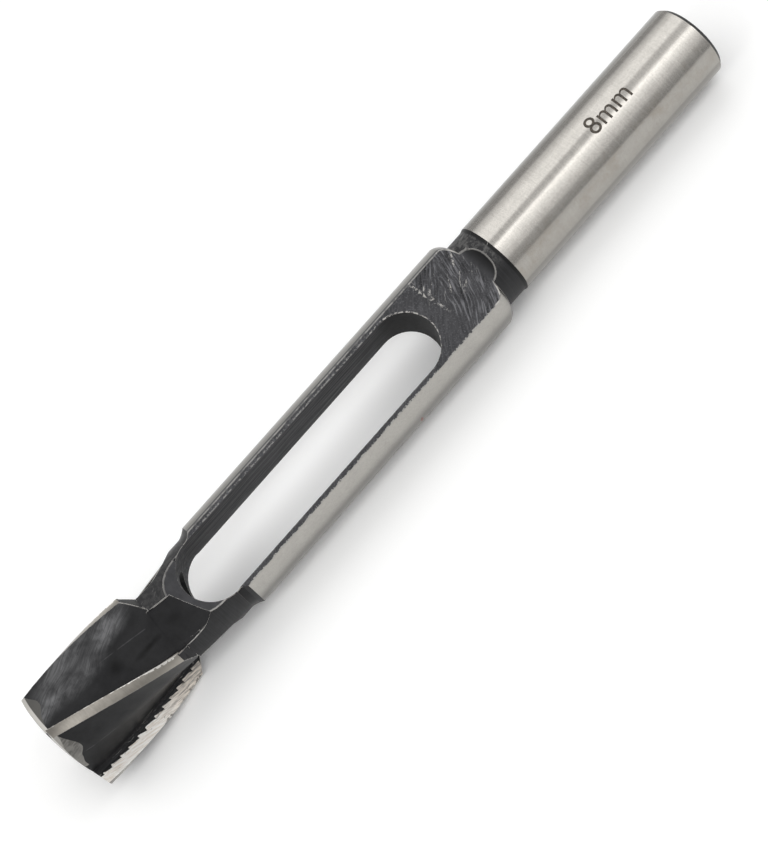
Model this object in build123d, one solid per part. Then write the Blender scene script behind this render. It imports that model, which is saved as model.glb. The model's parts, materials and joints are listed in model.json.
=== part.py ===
"""Tenon cutter: one bar of tool steel with a round shank, a flatted body with
an ejection window, a short neck and a four-tooth helical head.

The tool is drawn with its axis along X, the cutting end at X = 0 and the two
flats facing +Z and -Z, and is then laid down as it comes to rest.  All sizes
are in millimetres and degrees.
"""
import math
import os

from build123d import *

# Overall
overall_len = 140.0          # cutting end to shank end
tenon_dia = 8.0              # bore that receives the tenon

# Shank and upper neck
shank_dia = 13.0
shank_start = 95.0           # where the ground shank begins
shank_chamfer = 0.6
shank_lead = 0.6             # short slope from the neck up to the shank
upper_neck_dia = 12.6

# Body
body_dia = 16.0
body_start = 34.7            # sharp ring edge above the lower neck
body_end = 89.4              # start of the rounded shoulder
shoulder_len = 1.7           # rounded shoulder down to the upper neck
shoulder_bulge = 0.25        # how far the shoulder stands out from a straight chamfer

# Lower neck
lower_neck_dia = 14.4
ring_relief_len = 1.75       # hollow between ring edge and lower neck
ring_relief_hollow = 0.12

# Flats
across_flats = 10.6
flat_start = 30.9            # end of the plane part, tip side
flat_end = 91.0              # end of the plane part, shank side
low_runout_radius = 8.3      # how the flat rises again towards the tip
high_runout_radius = 3.35    # and towards the shank

# Window
window_width = 10.4
window_start = 28.1
window_end = 80.7

# Head
head_dia = 18.0
head_len = 20.8
end_dish = 9.0               # slope of the cutting edges towards the rim
tooth_count = 4
tooth_start = -10.2          # first cutting corner, from the flat's normal
twist_per_mm = 2.2           # degrees of helix per millimetre, right hand

# One tooth gap, seen along the axis from the cutting corner backwards
hook = 18.0                  # positive rake of the cutting face
margin_angle = 10.0          # width of the cylindrical land
heel_angle = 37.0            # ridge between the two back facets
heel_radius = 6.8
root_depth = 2.65            # cutting face, measured down its slope
root_fillet = 0.7

# Run-out of the tooth gap left by the grinding wheel
wheel_radius = 30.0
wheel_stop = 21.7            # where the wheel leaves the helix
wheel_overlap = 1.0          # helix carried on past the stop
wheel_side = 0.5             # wheel edge beyond the heel ridge
wheel_skew = 10.0
wheel_sweep = 24.0

# Bevel ground behind every cutting edge on the end
bevel_angle = 12.6           # slope of the bevel against the axis
bevel_offset = 5.18          # distance of the bevel from the axis at the tip
bevel_turn = 71.5            # direction of the bevel, behind the cutting corner
bevel_reach = 2.6            # how far it runs towards the next cutting face

# Derived
clear = 1.0                  # how far cutting tools stand past the work
full_turn = 360.0
half_turn = full_turn / 2
quarter_turn = full_turn / 4
solve_step = 1e-7
shank_r = shank_dia / 2
upper_neck_r = upper_neck_dia / 2
body_r = body_dia / 2
lower_neck_r = lower_neck_dia / 2
head_r = head_dia / 2
bore_r = tenon_dia / 2
flat_h = across_flats / 2
pitch = full_turn / tooth_count
tip_drop = (head_r - bore_r) * math.tan(math.radians(end_dish))
cone_end = head_len + (head_r - lower_neck_r)


def polar(radius, angle):
    """Point in the plane across the axis; angle turns from +Z towards -Y."""
    a = math.radians(angle)
    return Vector(0, -radius * math.sin(a), radius * math.cos(a))


def blank():
    """Turned bar: head, lower neck, body, upper neck and shank."""
    shoulder_end = body_end + shoulder_len
    relief_start = body_start - ring_relief_len
    tip = Polyline(
        (overall_len, 0),
        (0, 0),
        (0, bore_r),
        (tip_drop, head_r),
        (head_len, head_r),
        (cone_end, lower_neck_r),
        (relief_start, lower_neck_r),
    )
    hollow = ThreePointArc(
        (relief_start, lower_neck_r),
        ((relief_start + body_start) / 2,
         (lower_neck_r + body_r) / 2 - ring_relief_hollow),
        (body_start, body_r),
    )
    barrel = Line((body_start, body_r), (body_end, body_r))
    shoulder = ThreePointArc(
        (body_end, body_r),
        ((body_end + shoulder_end) / 2 + shoulder_bulge,
         (body_r + upper_neck_r) / 2 + shoulder_bulge),
        (shoulder_end, upper_neck_r),
    )
    stem = Polyline(
        (shoulder_end, upper_neck_r),
        (shank_start - shank_lead, upper_neck_r),
        (shank_start, shank_r),
        (overall_len - shank_chamfer, shank_r),
        (overall_len, shank_r - shank_chamfer),
        (overall_len, 0),
    )
    outline = make_face(tip + hollow + barrel + shoulder + stem)
    return revolve(outline, Axis.X, full_turn)


def flat_cut():
    """Material taken off above one flat, with the cutter's round run-outs."""
    top = flat_h + max(low_runout_radius, high_runout_radius, body_r) + clear

    def round_end(x, r, way):
        leg = r * math.sqrt(0.5)
        low = flat_h + r
        return ThreePointArc((x, flat_h), (x + way * leg, low - leg), (x + way * r, low))

    first = flat_start - low_runout_radius
    last = flat_end + high_runout_radius
    path = (
        Line((flat_start, flat_h), (flat_end, flat_h))
        + round_end(flat_end, high_runout_radius, 1)
        + Polyline((last, flat_h + high_runout_radius), (last, top),
                   (first, top), (first, flat_h + low_runout_radius))
        + round_end(flat_start, low_runout_radius, -1)
    )
    side = Plane.XZ * make_face(path)
    return extrude(side, amount=body_r + clear, both=True)


def window():
    """Oblong window through both flats."""
    length = window_end - window_start
    hole = SlotOverall(length, window_width)
    solid = extrude(hole, amount=body_r + clear, both=True)
    return Pos((window_start + window_end) / 2, 0, 0) * solid


def bore():
    """Blind hole for the tenon, open into the window."""
    depth = window_start + window_width / 2 + clear
    return Pos(depth / 2 - clear, 0, 0) * Rot(0, quarter_turn, 0) * Cylinder(bore_r, depth)


# One tooth gap across the axis; the cutting corner of the tooth that faces the
# gap stands at angle 0, the tooth in front of the gap one pitch before it
corner = polar(head_r, 0)
root = corner - polar(root_depth, -hook)
margin_end = polar(head_r, margin_angle - pitch)
heel = polar(heel_radius, heel_angle - pitch)
heel_rise = (margin_end - heel).normalized()
corner_out = corner + polar(clear, -hook)
gap_turn = (heel_angle - pitch) / 2      # middle of the gap's floor
lid = (head_r + clear) / math.cos(math.radians(pitch / 2))


def gap_section(left_edge):
    """Tooth gap from its left edge over heel and root to the cutting face."""
    top = polar(lid, gap_turn)
    face = make_face(Polyline(*left_edge, root, corner_out, top, close=True))
    tight = face.vertices().sort_by_distance(root)[0]
    return fillet(tight, root_fillet)


def helical_gap():
    """Twisted part of one tooth gap, from before the tip to past the wheel's stop."""
    section = gap_section((margin_end + heel_rise * clear, heel))
    start = -clear
    length = wheel_stop + wheel_overlap - start
    face = Pos(start, 0, 0) * Rot(tooth_start + twist_per_mm * start, 0, 0) * section
    return Solid.extrude_linear_with_rotation(
        face.faces()[0], (start, 0, 0), (length, 0, 0), twist_per_mm * length)


def runout():
    """Round end of one tooth gap where the wheel lifts off."""
    edge = heel + heel_rise * wheel_side
    wall = edge + polar(lid - heel_radius, gap_turn)
    upright = Rot(-gap_turn, 0, 0) * gap_section((wall, edge))
    floor = heel_radius * math.cos(math.radians(gap_turn))
    centre = Axis((0, 0, floor + wheel_radius), (0, 1, 0))
    swept = Rot(0, 0, -wheel_skew) * revolve(upright, centre, -wheel_sweep)
    angle = tooth_start + twist_per_mm * wheel_stop + gap_turn
    return Pos(wheel_stop, 0, 0) * Rot(angle, 0, 0) * swept


def end_bevel():
    """Flat ground on the back of a tooth next to the cutting end."""
    size = head_dia
    block = Box(size, size, size, align=(Align.CENTER, Align.MIN, Align.MIN))
    block = Pos(0, -bevel_reach, 0) * block
    tilted = Pos(0, 0, bevel_offset) * Rot(0, -bevel_angle, 0) * block
    return Rot(tooth_start + bevel_turn, 0, 0) * tilted


def tenon_cutter():
    tool = blank()
    gap = helical_gap()
    tail = runout()
    bevel = end_bevel()
    for i in range(tooth_count):
        spin = Rot(i * pitch, 0, 0)
        tool = tool - spin * gap
        tool = tool - spin * tail
        tool = tool - spin * bevel
    top = flat_cut()
    tool = tool - top
    tool = tool - Rot(half_turn, 0, 0) * top
    tool = tool - window()
    tool = tool - bore()
    return tool


def rest_pose():
    """Roll and pitch at which the tool lies still on a level surface.

    It lies on three points: the rear edge of one land at the top of the head,
    the cutting corner of the next tooth at the tip, and the shank's far edge.
    """
    gap = math.radians(pitch - margin_angle - twist_per_mm * (head_len - tip_drop))
    far = overall_len - shank_chamfer

    def slope(angle, x):
        return (head_r * math.cos(angle) - shank_r) / (far - x)

    low, high = 0.0, gap
    while high - low > solve_step:
        middle = (low + high) / 2
        if slope(middle, head_len) > slope(gap - middle, tip_drop):
            low = middle
        else:
            high = middle
    down = tooth_start + twist_per_mm * head_len + margin_angle + math.degrees(low)
    roll = half_turn - down - pitch * round((half_turn - down) / pitch)
    return roll, math.degrees(math.atan(slope(low, head_len)))


def laid_down(tool):
    """The tool as it rests, centred over the origin with its lowest point at 0."""
    roll, dip = rest_pose()
    lying = Rot(0, dip, 0) * Rot(roll, 0, 0) * tool
    box = lying.bounding_box()
    return Pos(-box.center().X, -box.center().Y, -box.min.Z) * lying


part = laid_down(tenon_cutter())
os.makedirs("parts", exist_ok=True)
export_step(part, "parts/tenon_cutter.step")
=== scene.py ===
"""Finishes, size mark and studio for the tenon cutter, laid out as a Blender add-on.

Lengths named in millimetres are measured in the tool's own frame: X runs along the
axis from the cutting end, and Z is square to the two milled flats.
"""
import json
import math

import bmesh
import bpy
from bpy.props import FloatProperty, FloatVectorProperty, PointerProperty, StringProperty
from mathutils import Matrix, Vector


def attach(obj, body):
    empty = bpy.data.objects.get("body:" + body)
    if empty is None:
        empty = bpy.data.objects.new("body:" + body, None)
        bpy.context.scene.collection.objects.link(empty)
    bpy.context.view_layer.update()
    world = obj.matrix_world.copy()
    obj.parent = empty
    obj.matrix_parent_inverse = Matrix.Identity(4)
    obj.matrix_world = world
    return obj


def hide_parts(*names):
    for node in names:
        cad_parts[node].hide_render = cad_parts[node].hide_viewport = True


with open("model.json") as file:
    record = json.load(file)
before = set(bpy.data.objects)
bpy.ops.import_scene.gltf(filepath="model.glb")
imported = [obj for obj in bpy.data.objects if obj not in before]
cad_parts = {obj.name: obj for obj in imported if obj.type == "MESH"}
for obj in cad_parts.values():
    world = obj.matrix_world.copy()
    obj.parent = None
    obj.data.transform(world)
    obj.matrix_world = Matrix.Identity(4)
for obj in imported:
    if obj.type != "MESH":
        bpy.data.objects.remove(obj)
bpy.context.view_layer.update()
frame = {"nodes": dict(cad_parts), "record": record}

bl_info = {
    "name": "Tenon Cutter Finishes",
    "version": (1, 0, 0),
    "blender": (4, 5, 0),
    "location": "View3D > Sidebar > Tenon Cutter",
    "description": "Dresses the tenon cutter in ground and blackened steel",
    "category": "Object",
}

MM = 0.001
BODY = "root"
NODE = "tenon_cutter"

MOUNTS = {m["name"]: m for m in frame["record"]["mounts"]}

# The tool's turned and milled forms, in millimetres from the cutting end
SHANK_START = 95.0
SHANK_R = 6.5
SHANK_END = 139.0
UPPER_NECK_R = 6.3
BARREL = (34.7, 89.4)
BARREL_R = 8.0
SHOULDER_END = 91.1
SHOULDER_FALL = 0.59
RING_START = 32.95
RELIEF_MIDDLE = 34.0
NECK_R = 7.2
NECK_END = 22.6
FLAT_H = 5.3
FLAT = (30.9, 91.0)
FLAT_RUNOUTS = (8.3, 3.35)
WINDOW = (33.3, 75.5)
WINDOW_R = 5.2
BORE_R = 4.0

# The head; tooth angles are degrees behind the cutting corner
HEAD_LEN = 20.8
HEAD_R = 9.0
TOOTH_START = -10.2
TWIST = 2.2
PITCH = 90.0
HOOK = 18.0
HEEL_LINE = 47.5
RAKE_FLOOR_R = 7.1
HELIX_END = 21.7
GAP_END = 34.0
END_SLOPE = 0.158

# Telling the faces apart: distances in millimetres, the rest cosines
NEAR = 0.03
ON_SURFACE = 0.1
ON_NECK = 0.06
ON_RAKE = 0.3
TURNED = 0.985
INWARD = -0.9
END_FACING = -0.5
AROUND = 0.75
CHAMFER = math.sqrt(0.5)
CHAMFER_NEAR = 0.01

# Edges: the degrees from which they stay sharp, and a smoothed seam's reach in millimetres
SHARP_FROM = 24
SEAM_SHARP_FROM = 50
SEAM_REACH = 1.2

# Vertices nearer than this are merged, and slivers thinner than this taken out
WELD = 0.001 * MM
THIN = 0.0005 * MM

# Where the finishes change: a pair is where a change begins and where it is complete, along
# the tool or, for the sides, in degrees round it from the flat's normal towards -Y
STAIN_ANGLE = 48.0
STAIN_REACH = 30.0
RUST_SPECK = (69.6, 87.0)
# Painted shade on the sides of the shank and barrel: where it sets in, where it is full, and its
# strength
SHANK_PAINTED_SHADE = ((30.0, 44.0, 0.56), (62.0, 76.0, 0.74), (-20.0, -38.0, 0.22), (-42.0, -54.0, 0.95))
BARREL_PAINTED_SHADE = ((66.0, 84.0, 0.6), (-45.0, -50.0, 0.6))
SCUFFED_SIDE = (35.0, 0.0)
SCUFFED_NECK = (88.0, 90.0)
MARKS_START = 84.5
SLANTED_MARKS = (83.0, 86.0)
POCKET = (90.7, 91.6)
POCKET_END = (90.9, 92.9)
POCKET_RIM = (90.7, 91.4)
LOW_RIM = (34.0, 32.5)
HIGH_RIM = (88.0, 89.0)
DOTS_START = (35.0, 37.0)
DOTS_DENSE = (71.0, 76.0)
DARK_ARC = (73.0, 77.5)
LEFT_TOOTH = (-12.0, -20.0)
FACET_FALLS = ((35.0, 52.0, 0.95), (50.0, 70.0, 0.5))
LAND_BRIGHT = (12.0, 18.0)
LAND_TIP = (3.6, 1.2)
BURR_WIDENS = (9.0, 19.0)
TEAR_STEP = 1.75
TEAR_DEPTH = 0.5
TEAR_REACH = 2.0
TORN_PALE = (17.0, 11.0)
NICKED = (9.0, 13.0)

# Milling marks: the radius of the cutter's sweep, and how far aside its centre is
SWEEP_R = 31.0
SWEEP_SIDE = 13.0

# Soft spots on the tooth backs: place, angle, length, width in degrees and strength
RUBBED = (
    (16.5, -42.0, 4.5, 14.0, 1.0),
    (9.5, -34.0, 5.0, 16.0, 0.6),
    (3.2, -46.0, 4.2, 18.0, 0.95),
    (9.0, -64.0, 8.0, 18.0, 0.75),
    (12.0, 140.0, 5.0, 16.0, 0.7),
)
DARKER_SPOTS = (
    (19.0, 12.0, 2.6, 5.0, 1.0),
    (13.6, -4.0, 1.2, 13.0, 0.8),
    (24.0, 10.0, 2.0, 10.0, 0.5),
)

# Tones of the marks, which the tints of the panel don't change
WORN = (0.50, 0.485, 0.46, 1.0)
WORN_METAL = 0.6
RUST = (0.17, 0.035, 0.025, 1.0)
GRIME = (0.11, 0.108, 0.105, 1.0)
STREAK = (0.168, 0.168, 0.178, 1.0)
RUBBED_GREY = (0.20, 0.20, 0.205, 1.0)
RIDGE_GREY = (0.11, 0.11, 0.115, 1.0)
BURR = (1.0, 0.97, 0.92, 1.0)
TORN_SHEEN = (1.0, 0.985, 0.95, 1.0)
WHITE = (1.0, 1.0, 1.0, 1.0)

# The size mark: its middle above the baseline as a share of the letter size, and the cuts
# that let it bend, as their number each way from the middle and per letter size
MARK_MIDDLE = 0.36
CUTS_EACH_WAY = 8
CUTS_PER_SIZE = 12

# Camera in the tool's frame in millimetres, fitted to the photo
CAMERA_AT = Vector((30.267, -75.315, 310.183))
CAMERA_TOWARDS = Vector((65.171, -4.341, 0.0))
CAMERA_UP = Vector((0.744889, 0.627259, 0.227346))
CAMERA_CLIP = (0.01, 50.0)

# Soft boxes: the two angles from straight up, radiance, middle and length in metres
STRIPS = (
    ("near_box", 13.0, 23.0, 0.93, 0.0, 1.2),
    ("near_side", 23.0, 33.0, 0.58, 0.0, 1.2),
    ("near_edge", 33.0, 43.0, 0.34, 0.0, 1.2),
    ("near_fade", 43.0, 60.0, 0.16, 0.0, 1.2),
    ("far_top", -17.0, -8.0, 0.5, 0.0, 1.2),
    ("far_box", -44.0, -17.0, 0.43, 0.0, 1.2),
    ("far_edge", -66.0, -44.0, 0.28, 0.0, 1.2),
    ("near_head_end", 10.0, 30.0, 3.0, -0.55, 0.4),
    ("near_shank_end", 10.0, 30.0, 3.0, 0.65, 0.4),
)
STRIP_REACH = 0.5
FLOOR_HALF = 4.0
FLOOR_GLOW = 0.085

# Studio light by direction: two heights and the levels at them, beside the tool, overhead
# and off its ends, and where the ends begin
SIDE_LEVELS = (0.3, 0.72, 0.40, 0.66)
TOP_LEVELS = (0.93, 0.99, 1.0, 0.86)
END_LEVELS = (0.25, 0.7, 0.22, 0.76)
ENDS = (0.42, 0.6)


def tool_frame():
    """The tool's own frame in the row frame, read from its bore mount and its flats."""
    bore = MOUNTS["tenon_bore"]
    out = Vector(bore["axis"])
    tip = Vector(bore["pos_m"]) + out * bore["dims"]["length_mm"] / 2 * MM
    along = -out
    facing = {}
    for face in frame["nodes"][NODE].data.polygons:
        height = (face.center - tip).dot(face.normal) / MM
        if abs(height - FLAT_H) < NEAR and abs(face.normal.dot(along)) < NEAR:
            key = face.normal.z > 0
            facing[key] = facing.get(key, Vector()) + face.normal * face.area
    up = facing[True]
    up = (up - along * up.dot(along)).normalized()
    turn = Matrix((along, up.cross(along), up)).transposed()
    return Matrix.Translation(tip) @ turn.to_4x4()


TOOL = tool_frame()
TOOL_INVERSE = TOOL.inverted()


def in_tool(point):
    """A point of the row frame in the tool's frame, in millimetres."""
    return (TOOL_INVERSE @ point) / MM


class Graph:
    """Shorthand for adding and joining the nodes of one tree."""

    def __init__(self, tree):
        self.tree = tree

    def feed(self, socket, value):
        if isinstance(value, bpy.types.NodeSocket):
            self.tree.links.new(value, socket)
        elif value is not None:
            socket.default_value = value

    def feed_all(self, node, values):
        for key, value in (values or {}).items():
            self.feed(node.inputs[key], value)

    def add(self, kind, values=None, **settings):
        node = self.tree.nodes.new("ShaderNode" + kind)
        for name, value in settings.items():
            setattr(node, name, value)
        self.feed_all(node, values)
        return node

    def math(self, operation, *values, clamp=False):
        node = self.add("Math", dict(enumerate(values)), operation=operation, use_clamp=clamp)
        return node.outputs[0]

    def chain(self, operation, values):
        """One operation over two or more values, from the first to the last."""
        result = values[0]
        for value in values[1:]:
            result = self.math(operation, result, value)
        return result

    def times(self, *values):
        return self.chain("MULTIPLY", values)

    def most(self, *values):
        return self.chain("MAXIMUM", values)

    def plus(self, a, b):
        return self.math("ADD", a, b)

    def minus(self, a, b):
        return self.math("SUBTRACT", a, b)

    def linear(self, value, factor, offset):
        return self.math("MULTIPLY_ADD", value, factor, offset)

    def apart(self, value, middle):
        """How far a value stands from a middle, either way."""
        return self.math("ABSOLUTE", self.minus(value, middle))

    def vector(self, operation, *values, out=0):
        node = self.add("VectorMath", dict(enumerate(values)), operation=operation)
        return node.outputs[out]

    def length(self, vector):
        return self.vector("LENGTH", vector, out="Value")

    def combine(self, x=0.0, y=0.0, z=0.0):
        return self.add("CombineXYZ", {0: x, 1: y, 2: z}).outputs[0]

    def separate(self, vector):
        return self.add("SeparateXYZ", {0: vector}).outputs

    def fade(self, value, low, high, to_low=0.0, to_high=1.0):
        """Value mapped smoothly from low..high onto to_low..to_high, and held there beyond."""
        node = self.add(
            "MapRange",
            {"Value": value, "From Min": low, "From Max": high, "To Min": to_low, "To Max": to_high},
            interpolation_type="SMOOTHSTEP",
        )
        return node.outputs[0]

    def blend(self, factor, a, b):
        node = self.add("Mix", data_type="RGBA", clamp_factor=True)
        self.feed(node.inputs["Factor"], factor)
        self.feed(node.inputs[6], a)
        self.feed(node.inputs[7], b)
        return node.outputs[2]

    def noise(self, vector, scale, detail, roughness=0.5):
        values = {"Vector": vector, "Scale": scale, "Detail": detail, "Roughness": roughness}
        return self.add("TexNoise", values).outputs[0]

    def bump(self, shader, height, strength, depth, normal=None):
        """Gives the shader a fine relief, its depth in millimetres."""
        values = {"Strength": strength, "Distance": depth * MM, "Height": height, "Normal": normal}
        self.feed(shader.inputs["Normal"], self.add("Bump", values).outputs[0])

    def lerp(self, factor, a, b):
        return self.add("Mix", {0: factor, 2: a, 3: b}, data_type="FLOAT", clamp_factor=True).outputs[0]

    def group(self, name, values=None):
        node = self.tree.nodes.new("ShaderNodeGroup")
        node.node_tree = bpy.data.node_groups[name]
        self.feed_all(node, values)
        return node.outputs


def new_group(name, inputs, outputs):
    """An empty shader node group; returns its graph, its inputs and its output sockets."""
    tree = bpy.data.node_groups.new(name, "ShaderNodeTree")
    for label, kind, value in inputs:
        socket = tree.interface.new_socket(label, in_out="INPUT", socket_type="NodeSocket" + kind)
        socket.default_value = value
    for label, kind in outputs:
        tree.interface.new_socket(label, in_out="OUTPUT", socket_type="NodeSocket" + kind)
    entry = tree.nodes.new("NodeGroupInput").outputs
    leave = tree.nodes.new("NodeGroupOutput").inputs
    return Graph(tree), entry, leave


def tool_place_group():
    """Where a point lies on the tool: its place in millimetres, radius, angle and tooth angle."""
    g, _, leave = new_group(
        "Tool Place", [],
        [("Place", "Vector"), ("Along", "Float"), ("Radius", "Float"), ("Angle", "Float"),
         ("Tooth Angle", "Float"), ("Unrolled", "Vector")],
    )
    seen = g.add("TexCoord").outputs["Object"]
    mapping = g.add("Mapping", {"Vector": seen}, vector_type="TEXTURE")
    mapping.inputs["Location"].default_value = TOOL.translation
    mapping.inputs["Rotation"].default_value = TOOL.to_euler("XYZ")
    mapping.inputs["Scale"].default_value = (MM, MM, MM)
    place = mapping.outputs[0]
    x, y, z = g.separate(place)
    across = g.combine(0.0, y, z)
    radius = g.length(across)
    turn = g.math("ARCTAN2", g.times(y, -1.0), z)
    angle = g.math("DEGREES", turn)
    helix = g.linear(x, TWIST, TOOTH_START)
    tooth = g.math("FLOORED_MODULO", g.minus(angle, helix), PITCH)
    g.feed(leave["Place"], place)
    g.feed(leave["Along"], x)
    g.feed(leave["Radius"], radius)
    g.feed(leave["Angle"], angle)
    g.feed(leave["Tooth Angle"], tooth)
    g.feed(leave["Unrolled"], g.combine(x, g.times(turn, radius), radius))


def edge_wear_group():
    """Mask of corners, from 0 on the open face to 1 on the corner, broken up by noise."""
    g, entry, leave = new_group(
        "Edge Wear",
        [("Width", "Float", 0.08), ("Breaks", "Float", 0.5), ("Break Size", "Float", 2.0)],
        [("Mask", "Float"), ("Normal", "Vector")],
    )
    soft = g.add("Bevel", {"Radius": g.times(entry["Width"], MM)}, samples=8).outputs[0]
    true = g.add("NewGeometry").outputs["True Normal"]
    agree = g.vector("DOT_PRODUCT", soft, true, out="Value")
    corner = g.fade(agree, 0.985, 0.93)
    place = g.group("Tool Place")["Place"]
    rough = g.noise(place, g.math("DIVIDE", 1.0, entry["Break Size"]), 3.0, 0.6)
    low = g.linear(entry["Breaks"], 0.5, 0.25)
    kept = g.fade(rough, low, g.plus(low, 0.15), 0.1)
    g.feed(leave["Mask"], g.times(corner, kept))
    g.feed(leave["Normal"], soft)


def grain_group():
    """Fine parallel marks: noise drawn out along one direction of the surface."""
    g, entry, leave = new_group(
        "Grain",
        [("Vector", "Vector", (0, 0, 0)), ("Stretch", "Vector", (1, 1, 1)), ("Detail", "Float", 3.0)],
        [("Value", "Float")],
    )
    drawn = g.vector("MULTIPLY", entry["Vector"], entry["Stretch"])
    g.feed(leave["Value"], g.noise(drawn, 1.0, entry["Detail"], 0.6))


def scratches_group():
    """Sparse thin scratches at one angle over the unrolled surface."""
    g, entry, leave = new_group(
        "Scratches",
        [("Vector", "Vector", (0, 0, 0)), ("Angle", "Float", 0.0), ("Spacing", "Float", 0.5),
         ("Length", "Float", 4.0), ("Amount", "Float", 0.5)],
        [("Mask", "Float")],
    )
    turn = g.add("VectorRotate", {"Vector": entry["Vector"], "Angle": g.math("RADIANS", entry["Angle"])},
                 rotation_type="Z_AXIS").outputs[0]
    x, y, _ = g.separate(turn)
    sway = g.noise(turn, 0.12, 1.0, 0.5)
    y = g.linear(sway, 3.0, y)
    cell = g.combine(g.math("DIVIDE", x, entry["Length"]), g.math("DIVIDE", y, entry["Spacing"]))
    fine = g.noise(cell, 1.0, 2.0, 0.55)
    high = g.linear(entry["Amount"], -0.35, 0.78)
    g.feed(leave["Mask"], g.fade(fine, high, g.plus(high, 0.08)))


def specks_group():
    """Small scattered spots."""
    g, entry, leave = new_group(
        "Specks",
        [("Vector", "Vector", (0, 0, 0)), ("Size", "Float", 0.5), ("Amount", "Float", 0.5)],
        [("Mask", "Float")],
    )
    fine = g.noise(entry["Vector"], g.math("DIVIDE", 1.0, entry["Size"]), 4.0, 0.65)
    high = g.linear(entry["Amount"], -0.3, 0.8)
    g.feed(leave["Mask"], g.fade(fine, high, g.plus(high, 0.05)))


def build_groups():
    tool_place_group()
    edge_wear_group()
    grain_group()
    scratches_group()
    specks_group()


def new_material(name):
    """A material with one Principled shader; returns it, its graph and the shader."""
    material = bpy.data.materials.new(name)
    material.use_nodes = True
    tree = material.node_tree
    shader = next(n for n in tree.nodes if n.type == "BSDF_PRINCIPLED")
    return material, Graph(tree), shader


def scaled(colour, factor):
    """A colour made lighter or darker."""
    return tuple(min(1.0, c * factor) for c in colour[:3]) + (1.0,)


def ground_steel(name, tint, roughness, stretch, contrast=1.0, stain=None, painted_side_shade=(), rim=None):
    """Ground steel: fine marks and cloudy tone, faint stains, and painted shade on its sides.

    Each side's painted shade is two angles, between which it sets in, and its strength.
    """
    material, g, shader = new_material(name)
    here = g.group("Tool Place")
    lines = g.group("Grain", {"Vector": here["Unrolled"], "Stretch": stretch})["Value"]
    cloud = g.noise(here["Place"], 0.45, 5.0, 0.65)
    mottle = g.noise(here["Place"], 4.0, 3.0, 0.7)
    tone = 0.5
    for marks, amount in ((cloud, 0.8), (lines, 0.8), (mottle, 1.1)):
        tone = g.linear(g.minus(marks, 0.5), amount * contrast, tone)
    colour = g.blend(tone, scaled(tint, 0.82), scaled(tint, 1.18))
    if stain:
        spread = g.fade(g.noise(here["Place"], 0.3, 5.0, 0.7), 0.44, 0.68)
        near = g.fade(g.apart(here["Angle"], STAIN_ANGLE), STAIN_REACH, 0.0)
        colour = g.blend(g.times(near, spread, 0.45), colour, stain)
    # Painted shade: the colour darkens towards the sides given by angle round the tool, in place of
    # dimmer reflections
    if painted_side_shade:
        side_shade = g.most(*(g.fade(here["Angle"], low, high, 0.0, amount) for low, high, amount in painted_side_shade))
        colour = g.blend(side_shade, colour, scaled(tint, 0.3))
    shader.inputs["Metallic"].default_value = 1.0
    if rim:
        colour, metal = barrel_rims(g, here, colour, rim)
        g.feed(shader.inputs["Metallic"], metal)
    g.feed(shader.inputs["Base Color"], colour)
    g.feed(shader.inputs["Roughness"], g.linear(lines, 0.12, roughness - 0.06))
    wear = g.group("Edge Wear", {"Width": 0.12, "Breaks": 0.2, "Break Size": 2.0})
    g.bump(shader, lines, 0.3, 0.02, wear["Normal"])
    return material


def barrel_rims(g, here, colour, black):
    """Barrel colour with the ragged black borders of the flats, and a rust speck."""
    _, y, z = g.separate(here["Place"])
    height = g.math("ABSOLUTE", z)
    chips = g.noise(here["Place"], 1.6, 4.0, 0.7)
    border = g.linear(g.fade(chips, 0.42, 0.62), -0.1, FLAT_H + 0.02)
    border = g.lerp(g.fade(y, -1.0, 0.0), border, FLAT_H - 0.3)
    ragged = g.fade(g.minus(height, border), 0.0, 0.04)
    colour = g.blend(ragged, colour, black)
    speck = g.combine(g.minus(here["Along"], RUST_SPECK[0]),
                      g.times(g.minus(here["Angle"], RUST_SPECK[1]), 0.05))
    rust = g.fade(g.length(speck), 0.38, 0.16)
    colour = g.blend(rust, colour, RUST)
    return colour, g.minus(1.0, g.most(ragged, rust))


def blackened(name, colour, roughness, specular):
    """Start of a blackened steel; returns its parts for the marks that each face adds."""
    material, g, shader = new_material(name)
    here = g.group("Tool Place")
    cloud = g.noise(here["Place"], 0.5, 5.0, 0.65)
    tone = g.math("MULTIPLY_ADD", g.minus(cloud, 0.5), 1.6, 0.5, clamp=True)
    base = g.blend(tone, scaled(colour, 0.6), scaled(colour, 1.4))
    shader.inputs["Roughness"].default_value = roughness
    shader.inputs["Specular IOR Level"].default_value = specular
    return material, g, shader, here, base


def finish_black(g, shader, base, bright, height, width, breaks, size,
                 depth=0.03, strength=0.4, keep=None):
    """Rubs the corners and the bright marks down to bare steel and joins up the shader."""
    wear = g.group("Edge Wear", {"Width": width, "Breaks": breaks, "Break Size": size})
    bare = g.times(wear["Mask"], 0.8)
    if keep:
        bare = g.times(bare, keep)
    if bright:
        bare = g.most(bare, bright)
    g.feed(shader.inputs["Base Color"], g.blend(bare, base, WORN))
    g.feed(shader.inputs["Metallic"], g.times(bare, WORN_METAL))
    g.bump(shader, height, strength, depth, wear["Normal"])


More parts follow.
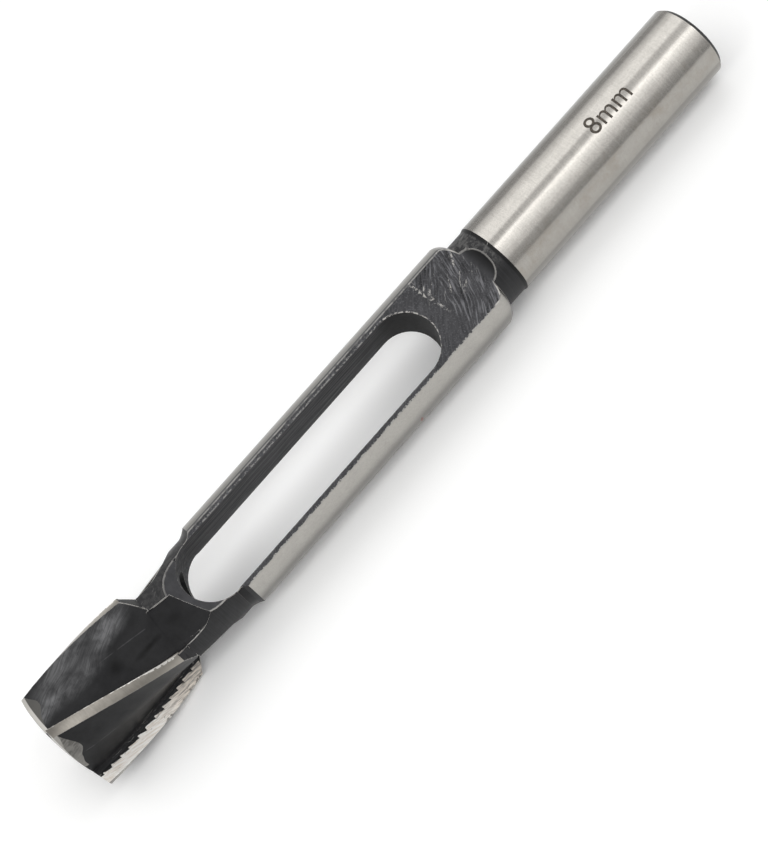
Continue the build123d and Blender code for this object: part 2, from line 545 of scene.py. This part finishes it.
def black_turned(name, colour):
    """Blackened turned surface: fine rings, on one side a few scuffs, and painted shadow under the
    shank's edge.
    """
    material, g, shader, here, base = blackened(name, colour, 0.5, 0.3)
    place, along = here["Place"], here["Along"]
    rings = g.group("Grain", {"Vector": here["Unrolled"], "Stretch": (5.0, 0.15, 1.0)})["Value"]
    base = g.blend(g.fade(rings, 0.35, 0.75, 0.0, 0.5), base, scaled(colour, 2.2))
    scuffed = g.times(g.fade(here["Angle"], *SCUFFED_SIDE), g.fade(along, *SCUFFED_NECK, 0.3))
    grime = g.fade(g.noise(place, 1.3, 4.0, 0.65), 0.42, 0.62)
    base = g.blend(g.times(grime, scuffed, 0.75), base, GRIME)
    scuffs = g.group("Scratches", {"Vector": here["Unrolled"], "Angle": 20.0, "Spacing": 0.3,
                                   "Length": 1.8, "Amount": 0.5})["Mask"]
    patch = g.fade(g.noise(place, 0.9, 3.0, 0.6), 0.5, 0.66)
    # Painted shadow in the step under the shank's edge; from there on the colour stays near black, the
    # shank's end face included
    dark = g.fade(along, SHANK_START - 0.65, SHANK_START - 0.4)
    base = g.blend(dark, base, scaled(colour, 0.15))
    keep = g.times(
        g.fade(g.apart(along, NECK_END), 0.25, 0.45),
        g.fade(g.apart(along, RELIEF_MIDDLE), 1.2, 1.4),
        g.fade(along, SHANK_START - 1.0, SHANK_START - 1.2),
    )
    bright = g.times(scuffs, scuffed, patch, 0.6)
    finish_black(g, shader, base, bright, rings, 0.2, 0.1, 1.2, keep=keep)
    return material


def milled_flat(name, colour):
    """Milled and blackened flat: curved cutter marks towards the shank, plainer by the window."""
    material, g, shader, here, base = blackened(name, colour, 0.45, 0.15)
    place = here["Place"]
    x, y, _ = g.separate(place)
    side = g.plus(y, -SWEEP_SIDE)
    sweep = g.math("SQRT", g.minus(SWEEP_R ** 2, g.times(side, side)))
    wander = g.times(g.noise(place, 0.22, 1.0), 1.3)
    arc = g.plus(g.minus(x, sweep), wander)
    slant = g.plus(g.linear(y, -0.95, x), wander)
    marks = []
    for across, seed in ((arc, 0.0), (slant, 7.0)):
        spot = g.combine(g.times(across, 2.6), g.times(y, 0.3), seed)
        marks.append(g.noise(spot, 1.0, 4.0, 0.62))
    marks = g.lerp(g.fade(g.linear(y, -0.6, x), *SLANTED_MARKS), marks[1], marks[0])
    ragged = g.linear(y, 0.12, g.linear(g.noise(place, 1.0, 3.0), 1.6, x))
    upper = g.fade(ragged, MARKS_START - 0.2, MARKS_START + 0.4)
    pocket = g.fade(x, *POCKET)
    lower_pocket = g.fade(x, FLAT[0] + 0.4, FLAT[0] - 0.4)
    open_flat = g.minus(1.0, g.most(pocket, lower_pocket))
    strength = g.times(g.linear(upper, 0.8, 0.2), open_flat)
    streaks = g.times(g.fade(marks, 0.50, 0.64), strength, 0.95)
    base = g.blend(streaks, base, STREAK)
    dark = g.times(g.fade(marks, 0.47, 0.36), strength, 0.75)
    base = g.blend(dark, base, scaled(colour, 0.2))
    grit = g.noise(place, 4.0, 3.0, 0.7)
    grains = g.times(g.fade(grit, 0.52, 0.70, 0.0, 0.7), open_flat)
    base = g.blend(grains, base, scaled(colour, 2.6))
    # Painted shade deepening into the run-out pocket at the shank end of the flat
    base = g.blend(g.fade(x, *POCKET_END, 0.0, 0.95), base, scaled(colour, 0.1))
    left = g.fade(y, -2.0, 0.5)
    border = g.fade(g.apart(ragged, MARKS_START), 0.5, 0.0)
    flecks = g.group("Specks", {"Vector": place, "Size": 0.5, "Amount": 0.95})["Mask"]
    drawn = g.combine(g.times(slant, 1.6), g.times(y, 0.6), 3.0)
    gouge = g.fade(g.noise(drawn, 0.8, 3.0, 0.6), 0.60, 0.66)
    fine = g.fade(g.noise(place, 3.2, 3.0, 0.6), 0.44, 0.56)
    bright = g.most(
        g.times(border, flecks, left, 0.85),
        g.times(gouge, fine, strength, left, 0.8),
        worn_rims(g, here, x, y),
    )
    height = g.plus(marks, g.times(grit, 0.3))
    height = g.times(height, g.linear(open_flat, 0.9, 0.1))
    finish_black(g, shader, base, bright, height, 0.1, 0.5, 0.5, 0.06, 0.6)
    return material


def worn_rims(g, here, x, y):
    """Mask of the flat's worn rims: its outer edges and, dotted, the edge of the window."""
    place = here["Place"]
    lower = g.add("MapRange", {0: x, 1: RING_START, 2: BARREL[0], 3: NECK_R, 4: BARREL_R}).outputs[0]
    past = g.most(g.minus(x, BARREL[1]), 0.0)
    upper = g.linear(g.times(past, past), -SHOULDER_FALL, BARREL_R)
    outer = g.math("MINIMUM", lower, g.most(upper, UPPER_NECK_R))
    gap = g.minus(outer, here["Radius"])
    wavy = g.noise(place, 1.1, 3.0, 0.6)
    low_end = g.times(g.fade(x, *LOW_RIM), g.fade(y, 1.0, -1.5, 0.35, 0.6))
    high_end = g.times(g.fade(x, *HIGH_RIM), g.fade(x, *POCKET_RIM, 1.0, 0.42))
    where = g.most(g.times(g.fade(y, 4.0, 5.0), 0.55), high_end, low_end)
    broken = g.fade(g.noise(place, 0.8, 3.0, 0.6), 0.36, 0.52, 0.35, 1.0)
    line = g.times(g.fade(g.linear(wavy, 0.16, gap), 0.27, 0.17), where, broken)
    chips = g.fade(g.noise(place, 1.6, 4.0, 0.7), 0.42, 0.62, 0.02, 0.19)
    ragged = g.times(
        g.fade(g.minus(gap, chips), 0.03, -0.03),
        g.fade(y, -1.0, -2.0),
        g.fade(x, BARREL[0] + 0.1, BARREL[0] + 0.5),
        g.fade(x, BARREL[1] - 0.8, BARREL[1] - 1.2, 0.0, 0.7),
    )
    slot = g.most(g.minus(WINDOW[0], x), g.minus(x, WINDOW[1]), 0.0)
    rim = g.minus(g.length(g.combine(slot, y)), WINDOW_R)
    dots = g.group("Specks", {"Vector": place, "Size": 0.45, "Amount": 1.05})["Mask"]
    near = g.times(
        g.fade(g.linear(wavy, 0.2, rim), 0.32, 0.18),
        dots,
        g.fade(x, *DOTS_START),
        g.fade(x, *DOTS_DENSE, 0.45, 0.9),
    )
    return g.most(line, ragged, near)


def window_wall(name, colour):
    """Blackened wall of the window, with marks drawn along the tool."""
    material, g, shader, here, base = blackened(name, colour, 0.55, 0.08)
    lines = g.group("Grain", {"Vector": here["Place"], "Stretch": (0.12, 3.0, 3.0)})["Value"]
    base = g.blend(g.fade(lines, 0.36, 0.50, 1.0, 0.0), base, scaled(colour, 0.45))
    base = g.blend(g.fade(lines, 0.50, 0.66, 0.0, 0.9), base, scaled(colour, 1.9))
    # Painted shade in the rounded end of the window towards the shank
    base = g.blend(g.fade(here["Along"], *DARK_ARC, 0.0, 0.9), base, scaled(colour, 0.12))
    finish_black(g, shader, base, None, lines, 0.1, 0.5, 0.6)
    return material


def spots(g, along, turn, wander, places):
    """Mask of soft spots, each given by its place, angle, length, width in degrees and strength."""
    masks = []
    for middle, angle, long, wide, amount in places:
        off = g.combine(g.math("DIVIDE", g.minus(along, middle), long),
                        g.math("DIVIDE", g.minus(turn, angle), wide))
        masks.append(g.fade(g.plus(g.length(off), wander), 1.4, 0.1, 0.0, amount))
    return g.most(*masks)


def tooth_back(name, colour, ground):
    """Blackened tooth back: smooth, rubbed grey in places, and ground to facets along the end."""
    material, g, shader, here, base = blackened(name, colour, 0.35, 0.15)
    place, unrolled, radius = here["Place"], here["Unrolled"], here["Radius"]
    along, turn, tooth = here["Along"], here["Angle"], here["Tooth Angle"]
    soft = g.group("Scratches", {"Vector": unrolled, "Angle": 24.0, "Spacing": 0.45,
                                 "Length": 4.5, "Amount": 0.95})["Mask"]
    fine = g.group("Scratches", {"Vector": unrolled, "Angle": 22.0, "Spacing": 0.16,
                                 "Length": 3.5, "Amount": 0.7})["Mask"]
    wander = g.linear(g.noise(place, 0.6, 3.0), 0.9, -0.45)
    # A few soft spots darker than the rest
    base = g.blend(spots(g, along, turn, wander, DARKER_SPOTS), base, scaled(colour, 0.1))
    rub = g.times(
        spots(g, along, turn, 0.0, RUBBED),
        g.fade(g.noise(place, 0.5, 4.0, 0.6), 0.32, 0.62, 0.45, 1.0),
        g.linear(fine, 0.22, g.linear(soft, 0.24, 0.46)),
    )
    base = g.blend(rub, base, RUBBED_GREY)
    ridge = g.times(
        g.fade(g.apart(tooth, HEEL_LINE), 0.9, 0.3, 0.0, 0.35),
        g.fade(g.noise(place, 0.5, 2.0), 0.4, 0.6),
        g.fade(along, HEAD_LEN - 0.2, HEAD_LEN - 0.6),
    )
    base = g.blend(ridge, base, RIDGE_GREY)
    left = g.fade(turn, *LEFT_TOOTH)
    past = g.linear(g.minus(g.most(radius, BORE_R), BORE_R), -END_SLOPE, along)
    clear = g.fade(g.linear(tooth, 0.12, radius), 7.6, 8.0)
    facet, strip = end_facets(g, past, tooth, left)
    facet = g.times(facet, clear)
    grain = g.group("Grain", {"Vector": unrolled, "Stretch": (0.5, 2.5, 1.0)})["Value"]
    steel = g.blend(g.fade(grain, 0.4, 0.6), scaled(ground, 0.75), scaled(ground, 1.25))
    steel = g.blend(g.fade(tooth, 38.0, 58.0, 0.0, 0.6), steel, scaled(ground, 1.6))
    # Painted light: on the left tooth the ground facet is darker and its foot strip brighter than on the
    # others
    steel = g.blend(left, steel, scaled(ground, 0.72))
    steel = g.blend(strip, steel, g.blend(left, scaled(ground, 2.2), scaled(ground, 3.8)))
    bare, normal = tooth_wear(g, along, tooth, radius, clear)
    base = g.blend(bare, base, WORN)
    g.feed(shader.inputs["Base Color"], g.blend(facet, base, steel))
    g.feed(shader.inputs["Metallic"], g.most(g.times(bare, WORN_METAL), g.times(facet, 0.4)))
    g.bump(shader, grain, 0.2, 0.01, normal)
    return material


def tooth_wear(g, along, tooth, radius, clear):
    """Worn edges of a tooth back, and the normal that rounds them.

    The seam between helix and run-out is smoothed over. It isn't worn, nor is the root by the tip.
    """
    seam = g.times(g.fade(g.apart(along, HELIX_END + 0.1), 1.4, 0.5), g.fade(radius, 7.0, 6.85))
    wear = g.group("Edge Wear", {"Width": g.linear(seam, 0.9, 0.28), "Breaks": 0.1, "Break Size": 1.0})
    off_seam = g.most(g.fade(g.apart(along, HELIX_END + 0.2), 1.4, 1.7), g.fade(radius, 6.9, 7.05))
    root = g.minus(1.0, g.times(clear, g.fade(tooth, 80.0, 78.0)))
    root = g.times(g.fade(along, 4.0, 3.0), root)
    return g.times(wear["Mask"], off_seam, g.minus(1.0, root)), wear["Normal"]


def end_facets(g, past, tooth, left):
    """Masks of the ground facet on the end of a tooth back, and of the bright strip along its foot."""
    top = g.fade(tooth, 4.0, 33.0, 0.4, 2.1)
    for low, high, fall in FACET_FALLS:
        top = g.minus(top, g.fade(tooth, low, high, 0.0, fall))
    top = g.times(top, g.fade(tooth, 80.0, 79.0))
    facet = g.fade(g.minus(top, past), 0.0, 0.06)
    foot = g.lerp(left, g.fade(tooth, 30.0, 12.0, 0.0, 0.6), 0.62)
    strip = g.fade(g.minus(foot, past), -0.04, 0.04)
    return facet, strip


def ground_land(name, tint):
    """Narrow ground land behind a cutting edge, with a bright burr along the edge."""
    material, g, shader = new_material(name)
    here = g.group("Tool Place")
    lines = g.group("Grain", {"Vector": here["Unrolled"], "Stretch": (4.0, 0.8, 1.0)})["Value"]
    cloud = g.noise(here["Place"], 0.5, 4.0, 0.6)
    tone = g.linear(g.minus(lines, 0.5), 0.8, g.linear(g.minus(cloud, 0.5), 1.6, 0.5))
    colour = g.blend(tone, scaled(tint, 0.75), scaled(tint, 1.25))
    along = here["Along"]
    colour = g.blend(g.fade(along, *LAND_BRIGHT, 0.0, 0.5), colour, scaled(tint, 1.6))
    colour = g.blend(g.fade(along, *LAND_TIP, 0.0, 0.8), colour, scaled(tint, 0.62))
    chips = g.fade(g.noise(here["Place"], 1.4, 3.0, 0.65), 0.34, 0.64, 0.3, 1.4)
    wide = g.linear(g.fade(along, *BURR_WIDENS, 0.5, 2.2), chips, 0.3)
    near = g.fade(g.minus(here["Tooth Angle"], wide), 0.4, -0.2)
    colour = g.blend(near, colour, BURR)
    g.feed(shader.inputs["Base Color"], colour)
    shader.inputs["Metallic"].default_value = 1.0
    g.feed(shader.inputs["Roughness"], g.linear(lines, 0.14, 0.26))
    g.bump(shader, lines, 0.4, 0.02)
    return material


def cutting_face(name, tint, black):
    """Cutting face: torn ground steel next to its edge, paler towards the cutting end with painted
    highlight, and a stepped border to the black root.
    """
    material, g, shader = new_material(name)
    here = g.group("Tool Place")
    place, along = here["Place"], here["Along"]
    signed = g.math("FLOORED_MODULO", g.plus(here["Tooth Angle"], PITCH / 2), PITCH)
    slope = g.math("RADIANS", g.plus(g.minus(signed, PITCH / 2), HOOK))
    depth = g.minus(HEAD_R * math.cos(math.radians(HOOK)),
                    g.times(here["Radius"], g.math("COSINE", slope)))
    slant = g.linear(along, 0.24, depth)
    streak = g.noise(g.combine(g.times(along, 0.5), g.times(slant, 4.2)), 1.0, 4.0, 0.62)
    wobbly = g.linear(g.noise(place, 0.35, 2.0), 1.4, along)
    step = g.math("FRACT", g.math("DIVIDE", wobbly, TEAR_STEP))
    reach = g.linear(step, -TEAR_DEPTH, TEAR_REACH)
    reach = g.linear(g.fade(streak, 0.42, 0.62), 0.16, reach)
    ground = g.fade(g.minus(reach, depth), -0.02, 0.03)
    nicked = g.times(g.fade(g.noise(place, 0.9, 3.0), 0.5, 0.62, 0.1, 0.4), g.fade(along, *NICKED))
    nicked = g.fade(g.minus(nicked, depth), 0.0, 0.1, 0.0, 0.75)
    pits = g.group("Specks", {"Vector": g.combine(g.times(along, 0.35), depth),
                              "Size": 0.5, "Amount": 0.6})["Mask"]
    bright = g.blend(g.fade(streak, 0.36, 0.62), scaled(tint, 0.46), scaled(tint, 1.1))
    # Partly painted highlight: towards the cutting end the torn streaks go near white and the steel less
    # metallic
    pale = g.fade(along, *TORN_PALE, 0.0, 0.85)
    torn = g.blend(g.fade(streak, 0.40, 0.56), scaled(tint, 1.15), TORN_SHEEN)
    bright = g.blend(pale, bright, torn)
    bright = g.blend(g.times(pits, 0.6), bright, scaled(tint, 0.25))
    bright = g.blend(nicked, bright, scaled(tint, 0.12))
    g.feed(shader.inputs["Base Color"], g.blend(ground, black, bright))
    g.feed(shader.inputs["Metallic"], g.times(ground, g.linear(pale, -0.3, 0.35)))
    g.feed(shader.inputs["Roughness"], g.linear(streak, 0.2, 0.35))
    wear = g.group("Edge Wear", {"Width": 0.1, "Breaks": 0.3, "Break Size": 1.0})
    g.bump(shader, g.plus(streak, ground), 0.7, 0.06, wear["Normal"])
    return material


def etched(name, colour):
    """Dark etched marking, uneven as the steel's grain breaks it up."""
    material, g, shader = new_material(name)
    here = g.group("Tool Place")
    grain = g.noise(here["Place"], 5.0, 3.0, 0.6)
    g.feed(shader.inputs["Base Color"], g.blend(g.fade(grain, 0.42, 0.72), colour, scaled(colour, 5.0)))
    shader.inputs["Roughness"].default_value = 0.6
    g.bump(shader, grain, 0.3, 0.03)
    return material


class SteelSettings(bpy.types.PropertyGroup):
    """Colours and roughness of the tool's finishes."""

    shank_tint: FloatVectorProperty(
        name="Shank", description="Colour of the ground shank", subtype="COLOR", size=4,
        default=(0.60, 0.575, 0.535, 1.0), min=0.0, max=1.0)
    barrel_tint: FloatVectorProperty(
        name="Barrel", description="Colour of the ground barrel", subtype="COLOR", size=4,
        default=(0.395, 0.382, 0.358, 1.0), min=0.0, max=1.0)
    stain_tint: FloatVectorProperty(
        name="Stain", description="Colour of the stains on the shank", subtype="COLOR", size=4,
        default=(0.40, 0.33, 0.25, 1.0), min=0.0, max=1.0)
    oxide_tint: FloatVectorProperty(
        name="Black oxide", description="Colour of the blackened faces", subtype="COLOR", size=4,
        default=(0.030, 0.030, 0.032, 1.0), min=0.0, max=1.0)
    land_tint: FloatVectorProperty(
        name="Lands", description="Colour of the ground lands", subtype="COLOR", size=4,
        default=(0.305, 0.285, 0.255, 1.0), min=0.0, max=1.0)
    rake_tint: FloatVectorProperty(
        name="Cutting faces", description="Colour of the torn cutting faces", subtype="COLOR", size=4,
        default=(0.77, 0.705, 0.63, 1.0), min=0.0, max=1.0)
    shank_roughness: FloatProperty(
        name="Shank roughness", description="Blur of the shank's reflections", default=0.2,
        min=0.0, max=1.0, subtype="FACTOR")
    barrel_roughness: FloatProperty(
        name="Barrel roughness", description="Blur of the barrel's reflections", default=0.3,
        min=0.0, max=1.0, subtype="FACTOR")


class MarkSettings(bpy.types.PropertyGroup):
    """Words, colour, size and place of the mark on the shank."""

    words: StringProperty(name="Words", description="What the mark says", default="8mm")
    tint: FloatVectorProperty(
        name="Mark", description="Colour of the etched mark", subtype="COLOR", size=4,
        default=(0.030, 0.024, 0.018, 1.0), min=0.0, max=1.0)
    height: FloatProperty(
        name="Letter size", description="Size of the letters", default=4.35 * MM, min=0.0, unit="LENGTH")
    boldness: FloatProperty(
        name="Boldness", description="Extra thickness of the strokes", default=0.0, unit="LENGTH")
    place: FloatProperty(
        name="Place", description="Middle of the mark, from the cutting end", default=121.7 * MM,
        unit="LENGTH")
    turn: FloatProperty(
        name="Turn", description="Middle of the mark round the shank, in degrees from the flats",
        default=-7.5)
    lift: FloatProperty(
        name="Lift", description="How far the mark stands clear of the steel", default=0.012 * MM,
        unit="LENGTH")


class StageSettings(bpy.types.PropertyGroup):
    """Floor colour and the camera's focal length."""

    floor_tint: FloatVectorProperty(
        name="Floor", description="Colour of the floor", subtype="COLOR", size=4,
        default=(0.97, 0.97, 0.965, 1.0), min=0.0, max=1.0)
    focal_length: FloatProperty(
        name="Focal length", description="Focal length of the camera", default=92.2,
        min=10.0, max=300.0, unit="CAMERA")


ZONES = ("shank", "barrel", "land", "rake", "rim", "flat", "window", "back", "bore", "end", "turned")


def off_rake(point):
    """How far a point stands from the line of its cutting face, seen along the axis."""
    angle = math.degrees(math.atan2(-point.y, point.z)) - TOOTH_START - TWIST * point.x
    angle = (angle + PITCH / 2) % PITCH - PITCH / 2
    r = math.hypot(point.y, point.z)
    return r * math.sin(math.radians(angle + HOOK)) - HEAD_R * math.sin(math.radians(HOOK))


def off_flat(point):
    """How far a point stands from the milled flat on its side, run-outs included."""
    height = abs(point.z) - FLAT_H
    for past, radius in ((FLAT[0] - point.x, FLAT_RUNOUTS[0]), (point.x - FLAT[1], FLAT_RUNOUTS[1])):
        if past > 0:
            return abs(math.hypot(past, radius - height) - radius)
    return abs(height)


def zone_of(centre, normal, corners):
    """The finish of a face, from its centre, normal and corners in the tool's frame."""
    x = centre.x
    r = math.hypot(centre.y, centre.z)
    outward = Vector((0, centre.y, centre.z)) / max(r, NEAR)
    rise = normal.dot(outward)
    turned = rise > TURNED
    if rise < INWARD and r < BORE_R + NEAR:
        return "bore"
    if turned and abs(r - SHANK_R) < ON_SURFACE and x > SHANK_START:
        return "shank"
    if x > SHANK_END:
        return "end"
    slot = max(WINDOW[0] - x, 0, x - WINDOW[1])
    if abs(normal.z) < NEAR and abs(math.hypot(slot, centre.y) - WINDOW_R) < ON_SURFACE:
        return "window"
    if abs(normal.y) < NEAR and off_flat(centre) < ON_SURFACE:
        return "flat"
    if turned and abs(r - BARREL_R) < ON_SURFACE and BARREL[0] < x < BARREL[1]:
        return "barrel"
    if BARREL[1] < x < SHOULDER_END and r > SHANK_R and rise > 0:
        return "barrel"
    if turned and abs(r - HEAD_R) < ON_SURFACE and x < HEAD_LEN:
        return "land"
    if normal.x < END_FACING and x < HEAD_LEN:
        return "rim"
    around = abs(normal.dot(Vector((1, 0, 0)).cross(outward)))
    steep = around > AROUND and r > RAKE_FLOOR_R
    if steep and x < HELIX_END and all(abs(off_rake(c)) < ON_RAKE for c in corners):
        return "rake"
    neck = turned and abs(r - NECK_R) < ON_NECK
    chamfer = abs(normal.x - CHAMFER) <= CHAMFER_NEAR
    if x < GAP_END and r < HEAD_R and not neck and not chamfer:
        return "back"
    return "turned"


def merged_solid():
    """A copy of the CAD mesh with its doubled vertices merged."""
    bm = bmesh.new()
    bm.from_mesh(frame["nodes"][NODE].data)
    bmesh.ops.remove_doubles(bm, verts=bm.verts, dist=WELD)
    bmesh.ops.dissolve_degenerate(bm, edges=bm.edges, dist=THIN)
    bm.normal_update()
    return bm


def give_zones(bm):
    """Gives each face its finish and marks the edges that stay sharp."""
    turn = TOOL_INVERSE.to_3x3()
    for face in bm.faces:
        corners = [in_tool(v.co) for v in face.verts]
        zone = zone_of(in_tool(face.calc_center_median()), turn @ face.normal, corners)
        face.material_index = ZONES.index(zone)
        face.smooth = True
    back = ZONES.index("back")
    for edge in bm.edges:
        if len(edge.link_faces) != 2:
            edge.smooth = False
            continue
        x = in_tool((edge.verts[0].co + edge.verts[1].co) / 2).x
        inside = all(f.material_index == back for f in edge.link_faces)
        seam = inside and abs(x - HELIX_END) < SEAM_REACH or abs(x - RING_START) < NEAR
        edge.smooth = edge.calc_face_angle(0) < math.radians(SEAM_SHARP_FROM if seam else SHARP_FROM)


def mesh_of(bm, name):
    """A mesh made from a bmesh, which is freed."""
    mesh = bpy.data.meshes.new(name)
    bm.to_mesh(mesh)
    bm.free()
    return mesh


def finished(piece):
    """A finished piece is linked into the scene and rides on the tool."""
    bpy.context.scene.collection.objects.link(piece)
    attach(piece, BODY)
    return piece


class CUTTER_OT_steel(bpy.types.Operator):
    """Make the one-piece tool from its merged solid and give each face its finish"""

    bl_idname = "cutter.steel"
    bl_label = "Steel Tool"

    def execute(self, context):
        s = context.scene.cutter_steel
        bm = merged_solid()
        give_zones(bm)
        mesh = mesh_of(bm, "tenon_cutter_steel")
        oxide, stain = tuple(s.oxide_tint), tuple(s.stain_tint)
        shank, barrel = tuple(s.shank_tint), tuple(s.barrel_tint)
        finishes = {
            "shank": ground_steel("Ground Shank", shank, s.shank_roughness, (7.0, 0.2, 1.0),
                                  stain=stain, painted_side_shade=SHANK_PAINTED_SHADE),
            "barrel": ground_steel("Ground Barrel", barrel, s.barrel_roughness, (1.5, 6.0, 1.0),
                                   contrast=0.8, painted_side_shade=BARREL_PAINTED_SHADE, rim=scaled(oxide, 0.8)),
            "land": ground_land("Ground Land", tuple(s.land_tint)),
            "rake": cutting_face("Cutting Face", tuple(s.rake_tint), scaled(oxide, 0.2)),
            "rim": ground_steel("End Rim", scaled(barrel, 1.1), 0.4, (2.0, 2.0, 1.0), contrast=1.3),
            "flat": milled_flat("Milled Flat", scaled(oxide, 1.7)),
            "window": window_wall("Window Wall", scaled(oxide, 2.0)),
            "back": tooth_back("Tooth Back", scaled(oxide, 0.5), scaled(barrel, 0.38)),
            "bore": black_turned("Bore Wall", scaled(oxide, 0.7)),
            "end": black_turned("Black Shank End", scaled(oxide, 0.15)),
            "turned": black_turned("Black Turned Steel", scaled(oxide, 0.5)),
        }
        for zone in ZONES:
            mesh.materials.append(finishes[zone])
        tool = finished(bpy.data.objects.new("tenon_cutter_steel", mesh))
        tool.modifiers.new("Weighted Normals", "WEIGHTED_NORMAL").keep_sharp = True
        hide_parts(NODE)
        return {"FINISHED"}


class CUTTER_OT_size_mark(bpy.types.Operator):
    """Lay the size mark on the shank, reading towards its end"""

    bl_idname = "cutter.size_mark"
    bl_label = "Size Mark"

    def execute(self, context):
        s = context.scene.cutter_mark
        text = bpy.data.curves.new("size_mark", "FONT")
        text.body = s.words
        text.size = s.height
        text.align_x = "CENTER"
        text.resolution_u = 4
        text.offset = s.boldness
        words = bpy.data.objects.new("size_mark_text", text)
        context.scene.collection.objects.link(words)
        context.view_layer.update()
        flat = words.evaluated_get(context.evaluated_depsgraph_get()).to_mesh()
        bm = bmesh.new()
        bm.from_mesh(flat)
        bpy.data.objects.remove(words)
        middle = s.height * MARK_MIDDLE
        for step in range(-CUTS_EACH_WAY, CUTS_EACH_WAY + 1):
            cut = middle + step * s.height / CUTS_PER_SIZE
            whole = bm.verts[:] + bm.edges[:] + bm.faces[:]
            bmesh.ops.bisect_plane(bm, geom=whole, plane_co=(0, cut, 0), plane_no=(0, 1, 0))
        bmesh.ops.triangulate(bm, faces=bm.faces)
        bmesh.ops.remove_doubles(bm, verts=bm.verts, dist=WELD)
        radius = SHANK_R * MM + s.lift
        for vert in bm.verts:
            angle = math.radians(s.turn) - (vert.co.y - middle) / radius
            x = vert.co.x + s.place
            vert.co = TOOL @ Vector((x, -radius * math.sin(angle), radius * math.cos(angle)))
        bm.normal_update()
        mesh = mesh_of(bm, "size_mark")
        mesh.materials.append(etched("Etched Mark", tuple(s.tint)))
        finished(bpy.data.objects.new("size_mark", mesh))
        return {"FINISHED"}


def strip_light(name, low, high, radiance, middle, length):
    """A long soft box along the tool, between two angles from straight up towards -Y."""
    lean, half = math.radians((low + high) / 2), math.radians((high - low) / 2)
    data = bpy.data.lights.new(name, "AREA")
    data.shape = "RECTANGLE"
    data.size = length
    data.size_y = 2 * STRIP_REACH * math.tan(half)
    data.energy = radiance * 4 * data.size * data.size_y
    lamp = bpy.data.objects.new(name, data)
    bpy.context.scene.collection.objects.link(lamp)
    lamp.location = (middle, -STRIP_REACH * math.sin(lean), STRIP_REACH * math.cos(lean))
    lamp.rotation_euler = (lean, 0, 0)


def lay_floor(scene, tint):
    """Matt pale floor, which glows a little where the camera or a reflection sees it."""
    bm = bmesh.new()
    bmesh.ops.create_grid(bm, x_segments=1, y_segments=1, size=FLOOR_HALF)
    mesh = mesh_of(bm, "floor")
    floor = bpy.data.objects.new("floor", mesh)
    scene.collection.objects.link(floor)
    material, g, shader = new_material("Floor")
    shader.inputs["Base Color"].default_value = tint
    shader.inputs["Roughness"].default_value = 0.7
    shader.inputs["Specular IOR Level"].default_value = 0.2
    path = g.add("LightPath").outputs
    seen = g.plus(path["Is Camera Ray"], path["Is Glossy Ray"])
    seen = g.math("ADD", seen, path["Is Transmission Ray"], clamp=True)
    shader.inputs["Emission Color"].default_value = WHITE
    g.feed(shader.inputs["Emission Strength"], g.times(seen, FLOOR_GLOW))
    mesh.materials.append(material)


def light_studio(scene):
    """Studio light all round, brighter from above and darkest low down off the tool's ends."""
    world = bpy.data.worlds.new("Studio")
    scene.world = world
    world.use_nodes = True
    tree = world.node_tree
    g = Graph(tree)
    x, _, up = g.separate(g.add("TexCoord").outputs["Generated"])
    beside = g.times(g.fade(up, *SIDE_LEVELS), g.fade(up, *TOP_LEVELS))
    level = g.lerp(g.fade(g.math("ABSOLUTE", x), *ENDS), beside, g.fade(up, *END_LEVELS))
    background = next(n for n in tree.nodes if n.type == "BACKGROUND")
    g.feed(background.inputs["Strength"], level)
    background.inputs["Color"].default_value = WHITE


def set_camera(scene, focal_length):
    """Camera at the photo's view of the tool."""
    data = bpy.data.cameras.new("camera")
    data.lens = focal_length
    data.clip_start, data.clip_end = CAMERA_CLIP
    camera = bpy.data.objects.new("camera", data)
    scene.collection.objects.link(camera)
    look = (CAMERA_TOWARDS - CAMERA_AT).normalized()
    side = look.cross(CAMERA_UP).normalized()
    turn = Matrix((side, side.cross(look), -look)).transposed()
    camera.matrix_world = (Matrix.Translation(TOOL @ (CAMERA_AT * MM))
                           @ (TOOL.to_3x3() @ turn).to_4x4())
    scene.camera = camera


class CUTTER_OT_stage(bpy.types.Operator):
    """Set the pale floor, the soft light and the camera"""

    bl_idname = "cutter.stage"
    bl_label = "Stage"

    def execute(self, context):
        scene = context.scene
        s = scene.cutter_stage
        lay_floor(scene, s.floor_tint)
        for strip in STRIPS:
            strip_light(*strip)
        light_studio(scene)
        set_camera(scene, s.focal_length)
        scene.view_settings.view_transform = "Standard"
        return {"FINISHED"}


class CUTTER_PT_panel(bpy.types.Panel):
    """Sidebar panel with every step"""

    bl_idname = "CUTTER_PT_panel"
    bl_label = "Tenon Cutter"
    bl_space_type = "VIEW_3D"
    bl_region_type = "UI"
    bl_category = "Tenon Cutter"

    def draw(self, context):
        layout = self.layout
        for group in (context.scene.cutter_steel, context.scene.cutter_mark, context.scene.cutter_stage):
            box = layout.box()
            for name in group.__annotations__:
                box.prop(group, name)
        for operator in OPERATORS:
            layout.operator(operator.bl_idname)


OPERATORS = (CUTTER_OT_steel, CUTTER_OT_size_mark, CUTTER_OT_stage)
CLASSES = (SteelSettings, MarkSettings, StageSettings) + OPERATORS + (CUTTER_PT_panel,)


def register():
    for cls in CLASSES:
        bpy.utils.register_class(cls)
    bpy.types.Scene.cutter_steel = PointerProperty(type=SteelSettings)
    bpy.types.Scene.cutter_mark = PointerProperty(type=MarkSettings)
    bpy.types.Scene.cutter_stage = PointerProperty(type=StageSettings)


def unregister():
    del bpy.types.Scene.cutter_stage
    del bpy.types.Scene.cutter_mark
    del bpy.types.Scene.cutter_steel
    for cls in reversed(CLASSES):
        bpy.utils.unregister_class(cls)


def main():
    register()
    build_groups()
    bpy.ops.cutter.steel()
    bpy.ops.cutter.size_mark()
    bpy.ops.cutter.stage()


if __name__ == "__main__":
    main()
